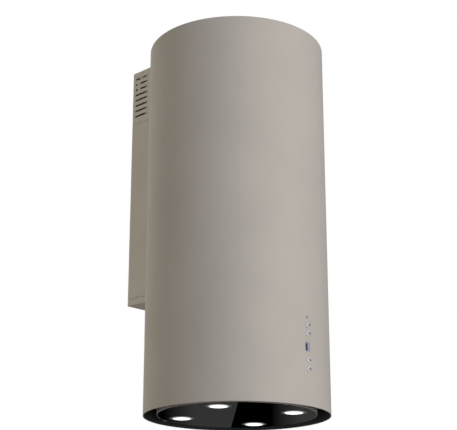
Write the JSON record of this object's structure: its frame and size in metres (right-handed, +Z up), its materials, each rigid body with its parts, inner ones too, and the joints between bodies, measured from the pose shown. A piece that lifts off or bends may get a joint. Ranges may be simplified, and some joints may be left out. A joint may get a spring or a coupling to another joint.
{
  "type": "wall-mounted tube range hood",
  "caption": "Tall cylindrical wall range hood with a vented wall box, front push buttons, rim suction and a hinged black glass light panel underneath.",
  "frame": {"origin": "on the wall plane, at the centre of the four wall bolt holes", "axes": "+Y into the wall, -Y to the front where the buttons are, +Z up along the tube, +X to the right seen from the front"},
  "size_m": [0.3939, 0.445, 0.832],
  "materials": {
    "painted_steel": "satin powder coat, warm grey",
    "black_steel": "matt black",
    "zinc_steel": "zinc plated",
    "aluminium": "satin",
    "chrome": "polished",
    "black_glass": "polished, black backed",
    "lens": "frosted, lit",
    "rubber": "matt",
    "dark_plastic": "fine grain",
    "board": "solder mask",
    "dark_window": "smoked",
    "carbon": "carbon filled"
  },
  "bodies": {
    "hood": {"outer_tube": "painted_steel", "inner_liner": "black_steel", "top_cover": "painted_steel", "back_plate": "zinc_steel", "box_lower": "painted_steel", "box_vent": "painted_steel", "box_bottom_cap": "painted_steel", "box_top_cap": "painted_steel", "side_screws": "zinc_steel", "top_screws": "zinc_steel", "tube_bolts": "zinc_steel", "cable_grommet": "rubber", "deck": "zinc_steel", "rail_left": "zinc_steel", "rail_right": "zinc_steel", "chamber_plate": "zinc_steel", "blower_shelf": "zinc_steel", "rubber_feet": "rubber", "scroll_left": "dark_plastic", "scroll_right": "dark_plastic", "motor": "zinc_steel", "motor_spider": "zinc_steel", "charcoal_left": "carbon", "charcoal_right": "carbon", "outlet_adapter": "dark_plastic", "duct_collar": "dark_plastic", "filter_frame": "aluminium", "filter_mesh": "aluminium", "latch_keeper": "zinc_steel", "electronics_box": "dark_plastic", "electronics_lid": "dark_plastic", "power_board": "board", "led_driver": "dark_plastic", "control_housing": "dark_plastic", "control_board": "board", "display_bezel": "chrome", "display_screen": "dark_window", "ir_window": "dark_window", "hinge_brackets": "black_steel", "catch_magnets": "dark_plastic"},
    "panel": {"drum_pan": "painted_steel", "glass_panel": "black_glass", "hinge_pins": "zinc_steel", "lamp_body_1": "aluminium", "lamp_body_2": "aluminium", "lamp_body_3": "aluminium", "lamp_body_4": "aluminium", "lamp_lens_1": "lens", "lamp_lens_2": "lens", "lamp_lens_3": "lens", "lamp_lens_4": "lens"},
    "impeller": {"impeller": "dark_plastic", "rotor_shaft": "zinc_steel"},
    "flap_rear": {"flap_rear": "aluminium"},
    "flap_front": {"flap_front": "aluminium"},
    "button_1": {"button_1": "chrome"},
    "button_2": {"button_2": "chrome"},
    "button_3": {"button_3": "chrome"},
    "button_4": {"button_4": "chrome"},
    "filter_latch": {"filter_latch": "aluminium"}
  },
  "joints": [
    {"name": "panel_hinge", "type": "hinge", "parent": "hood", "child": "panel", "pos_m": [0, -0.063, -0.535], "axis": [1, 0, 0], "range_deg": [0, 88]},
    {"name": "impeller_spin", "type": "hinge", "parent": "hood", "child": "impeller", "pos_m": [0, -0.2886, 0.014], "axis": [1, 0, 0], "continuous": true},
    {"name": "flap_rear_hinge", "type": "hinge", "parent": "hood", "child": "flap_rear", "pos_m": [0, -0.2385, 0.229], "axis": [1, 0, 0], "range_deg": [0, 85]},
    {"name": "flap_front_hinge", "type": "hinge", "parent": "hood", "child": "flap_front", "pos_m": [0, -0.2455, 0.229], "axis": [-1, 0, 0], "range_deg": [0, 85]},
    {"name": "latch_slide", "type": "slide", "parent": "hood", "child": "filter_latch", "axis": [0, 1, 0], "range_m": [0, 0.009], "stiffness_N_per_m": 300},
    {"name": "button_1_press", "type": "slide", "parent": "hood", "child": "button_1", "axis": [0, 1, 0], "range_m": [0, 0.0012], "stiffness_N_per_m": 500},
    {"name": "button_2_press", "type": "slide", "parent": "hood", "child": "button_2", "axis": [0, 1, 0], "range_m": [0, 0.0012], "stiffness_N_per_m": 500},
    {"name": "button_3_press", "type": "slide", "parent": "hood", "child": "button_3", "axis": [0, 1, 0], "range_m": [0, 0.0012], "stiffness_N_per_m": 500},
    {"name": "button_4_press", "type": "slide", "parent": "hood", "child": "button_4", "axis": [0, 1, 0], "range_m": [0, 0.0012], "stiffness_N_per_m": 500}
  ]
}
